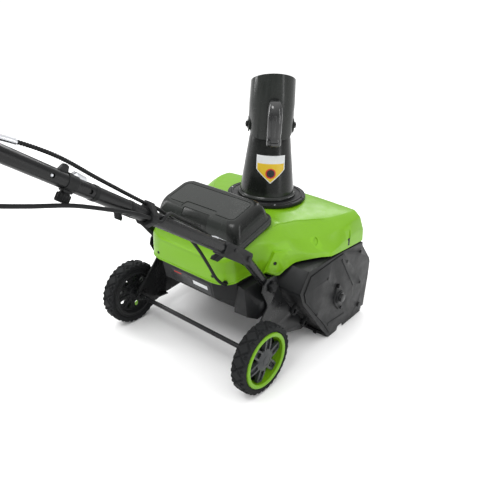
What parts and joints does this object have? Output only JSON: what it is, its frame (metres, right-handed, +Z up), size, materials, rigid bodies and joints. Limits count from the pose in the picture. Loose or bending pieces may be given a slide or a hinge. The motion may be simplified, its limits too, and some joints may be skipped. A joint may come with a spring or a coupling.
{
  "type": "walk-behind battery snow thrower",
  "caption": "Walk-behind battery snow thrower with auger housing, turning discharge chute and deflector, hinged battery cover, wheels and a folding tubular handle.",
  "frame": {"origin": "on the ground under the middle of the scraper bar", "axes": "+Z up, +Y forward in the direction of travel, +X to the operator's right"},
  "size_m": [0.5826, 1.3775, 0.9772],
  "materials": {
    "green_plastic": "moulded, semi-gloss",
    "black_plastic": "fine grain",
    "satin_plastic": "satin",
    "grey_plastic": "fine grain",
    "soft_rubber": "matt",
    "tyre_rubber": "matt",
    "black_paint": "powder coat",
    "bright_steel": "zinc plated"
  },
  "bodies": {
    "machine": {"auger_housing": "black_plastic", "side_plate_right": "black_plastic", "side_plate_left": "black_plastic", "belt_cover": "black_plastic", "bearing_flange": "black_plastic", "scraper_bar": "soft_rubber", "hood": "green_plastic", "belly": "black_plastic", "battery_bay": "black_plastic", "axle": "bright_steel", "discharge_neck": "black_plastic", "motor": "bright_steel", "drive_belt": "soft_rubber", "chute_collar": "black_plastic", "bracket_right": "black_paint", "bracket_left": "black_paint", "rear_grommet": "soft_rubber", "side_gland": "soft_rubber", "rear_cord": "soft_rubber", "side_cord": "soft_rubber"},
    "auger_rotor": {"auger": "black_paint", "auger_pulley": "grey_plastic"},
    "motor_rotor": {"motor_pulley": "bright_steel"},
    "wheel_right": {"wheel_tyre_right": "tyre_rubber", "wheel_rim_right": "green_plastic", "wheel_disc_right": "black_plastic", "wheel_spider_right": "grey_plastic"},
    "wheel_left": {"wheel_tyre_left": "tyre_rubber", "wheel_rim_left": "green_plastic", "wheel_disc_left": "black_plastic", "wheel_spider_left": "grey_plastic"},
    "chute_body": {"chute": "satin_plastic", "deflector_bolt_right": "soft_rubber", "deflector_bolt_left": "soft_rubber"},
    "deflector_body": {"deflector": "satin_plastic", "deflector_grip": "satin_plastic"},
    "trigger": {"grip_trigger": "soft_rubber"},
    "battery": {"battery_pack": "black_plastic"},
    "cover": {"battery_cover": "satin_plastic"},
    "latch": {"cover_latch": "satin_plastic"},
    "lower_handle": {"lower_tube_right": "black_paint", "lower_tube_left": "black_paint"},
    "handle": {"upper_handle": "black_paint", "fold_block_right": "black_plastic", "fold_block_left": "black_plastic", "grip_right": "soft_rubber", "grip_left": "soft_rubber", "switch_box": "black_plastic", "cable_clip": "soft_rubber", "conduit_a": "soft_rubber", "conduit_b": "soft_rubber"},
    "lever_right": {"cam_lever_right": "bright_steel"},
    "lever_left": {"cam_lever_left": "bright_steel"},
    "bail_body": {"bail": "bright_steel"},
    "button": {"start_button": "green_plastic"},
    "pivot_knob_r": {"pivot_knob_right": "soft_rubber"},
    "pivot_knob_l": {"pivot_knob_left": "soft_rubber"},
    "saddle_knob_r": {"saddle_knob_right": "soft_rubber"},
    "saddle_knob_l": {"saddle_knob_left": "soft_rubber"}
  },
  "joints": [
    {"name": "auger_spin", "type": "hinge", "parent": "machine", "child": "auger_rotor", "pos_m": [0, 0.018, 0.126], "axis": [1, 0, 0], "continuous": true},
    {"name": "motor_spin", "type": "hinge", "parent": "machine", "child": "motor_rotor", "pos_m": [0, -0.127, 0.212], "axis": [1, 0, 0], "continuous": true},
    {"name": "wheel_spin_right", "type": "hinge", "parent": "machine", "child": "wheel_right", "pos_m": [0.249, -0.315, 0.095], "axis": [1, 0, 0], "continuous": true},
    {"name": "wheel_spin_left", "type": "hinge", "parent": "machine", "child": "wheel_left", "pos_m": [-0.249, -0.315, 0.095], "axis": [1, 0, 0], "continuous": true},
    {"name": "chute_turn", "type": "hinge", "parent": "machine", "child": "chute_body", "pos_m": [0, 0.018, 0.379], "axis": [0, 0.0645, 0.9979], "range_deg": [-135, 55]},
    {"name": "deflector_tilt", "type": "hinge", "parent": "chute_body", "child": "deflector_body", "pos_m": [0, 0.03094, 0.57908], "axis": [0.7254, 0.6869, -0.0444], "range_deg": [-45, 0]},
    {"name": "trigger_press", "type": "slide", "parent": "deflector_body", "child": "trigger", "axis": [0.6884, -0.7239, 0.0468], "range_m": [0, 0.0035], "stiffness_N_per_m": 500},
    {"name": "battery_eject", "type": "slide", "parent": "machine", "child": "battery", "axis": [0, 0, 1], "range_m": [0, 0.008]},
    {"name": "cover_hinge", "type": "hinge", "parent": "machine", "child": "cover", "pos_m": [0, -0.12854, 0.39678], "axis": [1, 0, 0], "range_deg": [-80, 0]},
    {"name": "latch_slide", "type": "slide", "parent": "cover", "child": "latch", "axis": [0, -0.9681, -0.2504], "range_m": [0, 0.005], "stiffness_N_per_m": 400},
    {"name": "lower_handle_fold", "type": "hinge", "parent": "machine", "child": "lower_handle", "pos_m": [0, -0.229, 0.252], "axis": [1, 0, 0], "range_deg": [0, 45], "deforming": ["rear_cord", "side_cord"]},
    {"name": "upper_handle_fold", "type": "hinge", "parent": "lower_handle", "child": "handle", "pos_m": [0, -0.318, 0.369], "axis": [1, 0, 0], "range_deg": [-134, 0], "deforming": ["rear_cord", "side_cord"]},
    {"name": "cam_lever_right_open", "type": "hinge", "parent": "handle", "child": "lever_right", "pos_m": [0.1715, -0.318, 0.369], "axis": [1, 0, 0], "range_deg": [-100, 0]},
    {"name": "cam_lever_left_open", "type": "hinge", "parent": "handle", "child": "lever_left", "pos_m": [-0.1715, -0.318, 0.369], "axis": [1, 0, 0], "range_deg": [-100, 0]},
    {"name": "bail_squeeze", "type": "hinge", "parent": "handle", "child": "bail_body", "pos_m": [0, -1.01391, 0.87769], "axis": [1, 0, 0], "range_deg": [0, 14], "stiffness_Nm_per_rad": 1.2, "springref_deg": -20.05},
    {"name": "start_button_press", "type": "slide", "parent": "handle", "child": "button", "axis": [0, -0.5864, -0.81], "range_m": [0, 0.003], "stiffness_N_per_m": 500},
    {"name": "pivot_knob_right_turn", "type": "hinge", "parent": "machine", "child": "pivot_knob_r", "pos_m": [0.2, -0.229, 0.252], "axis": [1, 0, 0], "continuous": true},
    {"name": "pivot_knob_left_turn", "type": "hinge", "parent": "machine", "child": "pivot_knob_l", "pos_m": [-0.2, -0.229, 0.252], "axis": [1, 0, 0], "continuous": true},
    {"name": "saddle_knob_right_turn", "type": "hinge", "parent": "handle", "child": "saddle_knob_r", "pos_m": [0.195, -0.75704, 0.68681], "axis": [0, -0.5864, -0.81], "continuous": true},
    {"name": "saddle_knob_left_turn", "type": "hinge", "parent": "handle", "child": "saddle_knob_l", "pos_m": [-0.195, -0.75704, 0.68681], "axis": [0, -0.5864, -0.81], "continuous": true}
  ],
  "couplings": [
    {"joint": "motor_spin", "follows": "auger_spin", "ratio": 4.8333}
  ]
}
